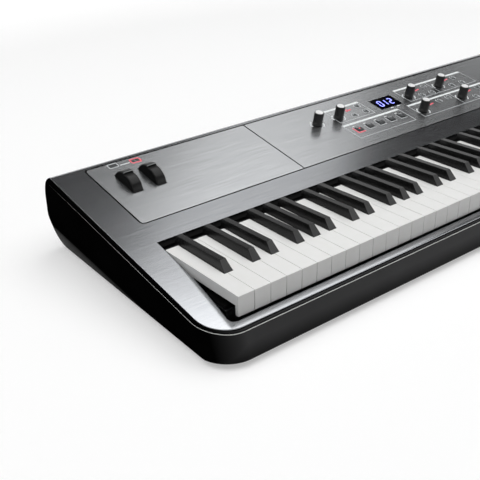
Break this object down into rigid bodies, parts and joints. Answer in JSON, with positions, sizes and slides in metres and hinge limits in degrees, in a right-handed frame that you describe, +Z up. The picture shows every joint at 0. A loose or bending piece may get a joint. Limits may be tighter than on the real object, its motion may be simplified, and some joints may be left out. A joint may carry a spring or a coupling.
{
  "type": "stage piano",
  "caption": "Slim stage piano with a sloping silver top, a full row of hinged keys, two performance wheels, knobs, buttons and a small display in a black case.",
  "frame": {"origin": "on the floor under the middle of the case, bottom centre of the whole", "axes": "+X along the keyboard from low to high keys, +Y away from the player, +Z up"},
  "size_m": [1.3128, 0.386, 0.1229],
  "materials": {
    "black_shell": "satin moulded",
    "silver_sheet": "brushed, satin lacquer",
    "white_key": "gloss moulded",
    "black_key": "satin moulded",
    "wheel_plastic": "gloss moulded",
    "knob_plastic": "satin moulded",
    "button_rubber": "soft satin",
    "steel": "zinc plated sheet",
    "circuit_board": "lacquered",
    "display": "smoked window",
    "dark_felt": "wool felt",
    "foot_rubber": "matt"
  },
  "bodies": {
    "case": {"bottom_case": "black_shell", "top_cover": "silver_sheet", "left_panel": "silver_sheet", "main_panel": "silver_sheet", "right_panel": "silver_sheet", "wheel_bracket": "steel", "wheel_axle": "steel", "control_board": "circuit_board", "display_window": "display", "left_cheek_block": "black_shell", "right_cheek_block": "black_shell", "key_slip": "black_shell", "keybed_chassis": "steel", "key_pivot_rod": "steel", "key_stop_felt": "dark_felt", "contact_strip": "circuit_board", "key_well_felt": "dark_felt", "jack_panel": "black_shell", "power_inlet": "black_shell", "foot_front_left": "foot_rubber", "foot_front_right": "foot_rubber", "foot_rear_left": "foot_rubber", "foot_rear_right": "foot_rubber"},
    "key_A0": {"key_A0": "white_key"},
    "key_A_sharp_0": {"key_A_sharp_0": "black_key"},
    "key_B0": {"key_B0": "white_key"},
    "key_C1": {"key_C1": "white_key"},
    "key_C_sharp_1": {"key_C_sharp_1": "black_key"},
    "key_D1": {"key_D1": "white_key"},
    "key_D_sharp_1": {"key_D_sharp_1": "black_key"},
    "key_E1": {"key_E1": "white_key"},
    "key_F1": {"key_F1": "white_key"},
    "key_F_sharp_1": {"key_F_sharp_1": "black_key"},
    "key_G1": {"key_G1": "white_key"},
    "key_G_sharp_1": {"key_G_sharp_1": "black_key"},
    "key_A1": {"key_A1": "white_key"},
    "key_A_sharp_1": {"key_A_sharp_1": "black_key"},
    "key_B1": {"key_B1": "white_key"},
    "white_keys_C2_to_B4": {"white_keys_C2_to_B4": "white_key"},
    "black_keys_C2_to_B4": {"black_keys_C2_to_B4": "black_key"},
    "white_keys_C5_to_C8": {"white_keys_C5_to_C8": "white_key"},
    "black_keys_C5_to_C8": {"black_keys_C5_to_C8": "black_key"},
    "pitch_wheel": {"pitch_wheel": "wheel_plastic"},
    "mod_wheel": {"mod_wheel": "wheel_plastic"},
    "volume_knob": {"volume_knob": "knob_plastic"},
    "tone_knob": {"tone_knob": "knob_plastic"},
    "control_1_knob": {"control_1_knob": "knob_plastic"},
    "control_2_knob": {"control_2_knob": "knob_plastic"},
    "control_3_knob": {"control_3_knob": "knob_plastic"},
    "control_4_knob": {"control_4_knob": "knob_plastic"},
    "program_button_1": {"program_button_1": "button_rubber"},
    "program_button_2": {"program_button_2": "button_rubber"},
    "program_button_3": {"program_button_3": "button_rubber"},
    "program_button_4": {"program_button_4": "button_rubber"},
    "program_button_5": {"program_button_5": "button_rubber"},
    "bank_button_mat": {"bank_button_mat": "button_rubber"},
    "effect_button_mat": {"effect_button_mat": "button_rubber"},
    "layer_button_mat": {"layer_button_mat": "button_rubber"},
    "split_button_mat": {"split_button_mat": "button_rubber"},
    "power_switch": {"power_switch": "knob_plastic"}
  },
  "joints": [
    {"name": "key_A0_press", "type": "hinge", "parent": "case", "child": "key_A0", "pos_m": [-0.59925, 0.06548, 0.059], "axis": [1, 0, 0], "range_deg": [0, 2.5], "stiffness_Nm_per_rad": 1.6, "springref_deg": -5.73},
    {"name": "key_A_sharp_0_press", "type": "hinge", "parent": "case", "child": "key_A_sharp_0", "pos_m": [-0.58506, 0.06548, 0.059], "axis": [1, 0, 0], "range_deg": [0, 2.6], "stiffness_Nm_per_rad": 1.3, "springref_deg": -5.73},
    {"name": "key_B0_press", "type": "hinge", "parent": "case", "child": "key_B0", "pos_m": [-0.57575, 0.06548, 0.059], "axis": [1, 0, 0], "range_deg": [0, 2.5], "stiffness_Nm_per_rad": 1.6, "springref_deg": -5.73},
    {"name": "key_C1_press", "type": "hinge", "parent": "case", "child": "key_C1", "pos_m": [-0.55225, 0.06548, 0.059], "axis": [1, 0, 0], "range_deg": [0, 2.5], "stiffness_Nm_per_rad": 1.6, "springref_deg": -5.73},
    {"name": "key_C_sharp_1_press", "type": "hinge", "parent": "case", "child": "key_C_sharp_1", "pos_m": [-0.54351, 0.06548, 0.059], "axis": [1, 0, 0], "range_deg": [0, 2.6], "stiffness_Nm_per_rad": 1.3, "springref_deg": -5.73},
    {"name": "key_D1_press", "type": "hinge", "parent": "case", "child": "key_D1", "pos_m": [-0.52875, 0.06548, 0.059], "axis": [1, 0, 0], "range_deg": [0, 2.5], "stiffness_Nm_per_rad": 1.6, "springref_deg": -5.73},
    {"name": "key_D_sharp_1_press", "type": "hinge", "parent": "case", "child": "key_D_sharp_1", "pos_m": [-0.51531, 0.06548, 0.059], "axis": [1, 0, 0], "range_deg": [0, 2.6], "stiffness_Nm_per_rad": 1.3, "springref_deg": -5.73},
    {"name": "key_E1_press", "type": "hinge", "parent": "case", "child": "key_E1", "pos_m": [-0.50525, 0.06548, 0.059], "axis": [1, 0, 0], "range_deg": [0, 2.5], "stiffness_Nm_per_rad": 1.6, "springref_deg": -5.73},
    {"name": "key_F1_press", "type": "hinge", "parent": "case", "child": "key_F1", "pos_m": [-0.48175, 0.06548, 0.059], "axis": [1, 0, 0], "range_deg": [0, 2.5], "stiffness_Nm_per_rad": 1.6, "springref_deg": -5.73},
    {"name": "key_F_sharp_1_press", "type": "hinge", "parent": "case", "child": "key_F_sharp_1", "pos_m": [-0.47409, 0.06548, 0.059], "axis": [1, 0, 0], "range_deg": [0, 2.6], "stiffness_Nm_per_rad": 1.3, "springref_deg": -5.73},
    {"name": "key_G1_press", "type": "hinge", "parent": "case", "child": "key_G1", "pos_m": [-0.45825, 0.06548, 0.059], "axis": [1, 0, 0], "range_deg": [0, 2.5], "stiffness_Nm_per_rad": 1.6, "springref_deg": -5.73},
    {"name": "key_G_sharp_1_press", "type": "hinge", "parent": "case", "child": "key_G_sharp_1", "pos_m": [-0.4473, 0.06548, 0.059], "axis": [1, 0, 0], "range_deg": [0, 2.6], "stiffness_Nm_per_rad": 1.3, "springref_deg": -5.73},
    {"name": "key_A1_press", "type": "hinge", "parent": "case", "child": "key_A1", "pos_m": [-0.43475, 0.06548, 0.059], "axis": [1, 0, 0], "range_deg": [0, 2.5], "stiffness_Nm_per_rad": 1.6, "springref_deg": -5.73},
    {"name": "key_A_sharp_1_press", "type": "hinge", "parent": "case", "child": "key_A_sharp_1", "pos_m": [-0.42056, 0.06548, 0.059], "axis": [1, 0, 0], "range_deg": [0, 2.6], "stiffness_Nm_per_rad": 1.3, "springref_deg": -5.73},
    {"name": "key_B1_press", "type": "hinge", "parent": "case", "child": "key_B1", "pos_m": [-0.41125, 0.06548, 0.059], "axis": [1, 0, 0], "range_deg": [0, 2.5], "stiffness_Nm_per_rad": 1.6, "springref_deg": -5.73},
    {"name": "white_keys_C2_to_B4_press", "type": "hinge", "parent": "case", "child": "white_keys_C2_to_B4", "pos_m": [-0.15275, 0.06548, 0.059], "axis": [1, 0, 0], "range_deg": [0, 2.5], "stiffness_Nm_per_rad": 33.6, "springref_deg": -5.73},
    {"name": "black_keys_C2_to_B4_press", "type": "hinge", "parent": "case", "child": "black_keys_C2_to_B4", "pos_m": [-0.15275, 0.06548, 0.059], "axis": [1, 0, 0], "range_deg": [0, 2.6], "stiffness_Nm_per_rad": 19.5, "springref_deg": -5.73},
    {"name": "white_keys_C5_to_C8_press", "type": "hinge", "parent": "case", "child": "white_keys_C5_to_C8", "pos_m": [0.3525, 0.06548, 0.059], "axis": [1, 0, 0], "range_deg": [0, 2.5], "stiffness_Nm_per_rad": 35.2, "springref_deg": -5.73},
    {"name": "black_keys_C5_to_C8_press", "type": "hinge", "parent": "case", "child": "black_keys_C5_to_C8", "pos_m": [0.3525, 0.06548, 0.059], "axis": [1, 0, 0], "range_deg": [0, 2.6], "stiffness_Nm_per_rad": 19.5, "springref_deg": -5.73},
    {"name": "pitch_wheel_turn", "type": "hinge", "parent": "case", "child": "pitch_wheel", "pos_m": [-0.5695, 0.11815, 0.0902], "axis": [1, 0, 0], "range_deg": [-35, 35], "stiffness_Nm_per_rad": 0.08},
    {"name": "mod_wheel_turn", "type": "hinge", "parent": "case", "child": "mod_wheel", "pos_m": [-0.5328, 0.11815, 0.0902], "axis": [1, 0, 0], "range_deg": [-35, 35]},
    {"name": "volume_knob_turn", "type": "hinge", "parent": "case", "child": "volume_knob", "pos_m": [-0.22798, 0.11632, 0.10003], "axis": [0, -0.1893, 0.9819], "range_deg": [-140, 140]},
    {"name": "tone_knob_turn", "type": "hinge", "parent": "case", "child": "tone_knob", "pos_m": [-0.18202, 0.11632, 0.10003], "axis": [0, -0.1893, 0.9819], "range_deg": [-140, 140]},
    {"name": "control_1_knob_turn", "type": "hinge", "parent": "case", "child": "control_1_knob", "pos_m": [-0.01748, 0.11533, 0.09984], "axis": [0, -0.1893, 0.9819], "range_deg": [-140, 140]},
    {"name": "control_2_knob_turn", "type": "hinge", "parent": "case", "child": "control_2_knob", "pos_m": [0.06403, 0.11927, 0.1006], "axis": [0, -0.1893, 0.9819], "range_deg": [-140, 140]},
    {"name": "control_3_knob_turn", "type": "hinge", "parent": "case", "child": "control_3_knob", "pos_m": [-0.03448, 0.0682, 0.09076], "axis": [0, -0.1893, 0.9819], "range_deg": [-140, 140]},
    {"name": "control_4_knob_turn", "type": "hinge", "parent": "case", "child": "control_4_knob", "pos_m": [0.0685, 0.07115, 0.09132], "axis": [0, -0.1893, 0.9819], "range_deg": [-140, 140]},
    {"name": "program_button_1_press", "type": "slide", "parent": "case", "child": "program_button_1", "axis": [0, 0.1893, -0.9819], "range_m": [0, 0.0006], "stiffness_N_per_m": 500, "springref_m": -0.002},
    {"name": "program_button_2_press", "type": "slide", "parent": "case", "child": "program_button_2", "axis": [0, 0.1893, -0.9819], "range_m": [0, 0.0006], "stiffness_N_per_m": 500, "springref_m": -0.002},
    {"name": "program_button_3_press", "type": "slide", "parent": "case", "child": "program_button_3", "axis": [0, 0.1893, -0.9819], "range_m": [0, 0.0006], "stiffness_N_per_m": 500, "springref_m": -0.002},
    {"name": "program_button_4_press", "type": "slide", "parent": "case", "child": "program_button_4", "axis": [0, 0.1893, -0.9819], "range_m": [0, 0.0006], "stiffness_N_per_m": 500, "springref_m": -0.002},
    {"name": "program_button_5_press", "type": "slide", "parent": "case", "child": "program_button_5", "axis": [0, 0.1893, -0.9819], "range_m": [0, 0.0006], "stiffness_N_per_m": 500, "springref_m": -0.002},
    {"name": "bank_button_mat_press", "type": "slide", "parent": "case", "child": "bank_button_mat", "axis": [0, 0.1893, -0.9819], "range_m": [0, 0.0006], "stiffness_N_per_m": 800, "springref_m": -0.002},
    {"name": "effect_button_mat_press", "type": "slide", "parent": "case", "child": "effect_button_mat", "axis": [0, 0.1893, -0.9819], "range_m": [0, 0.0006], "stiffness_N_per_m": 800, "springref_m": -0.002},
    {"name": "layer_button_mat_press", "type": "slide", "parent": "case", "child": "layer_button_mat", "axis": [0, 0.1893, -0.9819], "range_m": [0, 0.0006], "stiffness_N_per_m": 800, "springref_m": -0.002},
    {"name": "split_button_mat_press", "type": "slide", "parent": "case", "child": "split_button_mat", "axis": [0, 0.1893, -0.9819], "range_m": [0, 0.0006], "stiffness_N_per_m": 800, "springref_m": -0.002},
    {"name": "power_switch_rock", "type": "hinge", "parent": "case", "child": "power_switch", "pos_m": [0.4455, 0.19051, 0.043], "axis": [1, 0, 0], "range_deg": [-12, 0]}
  ]
}
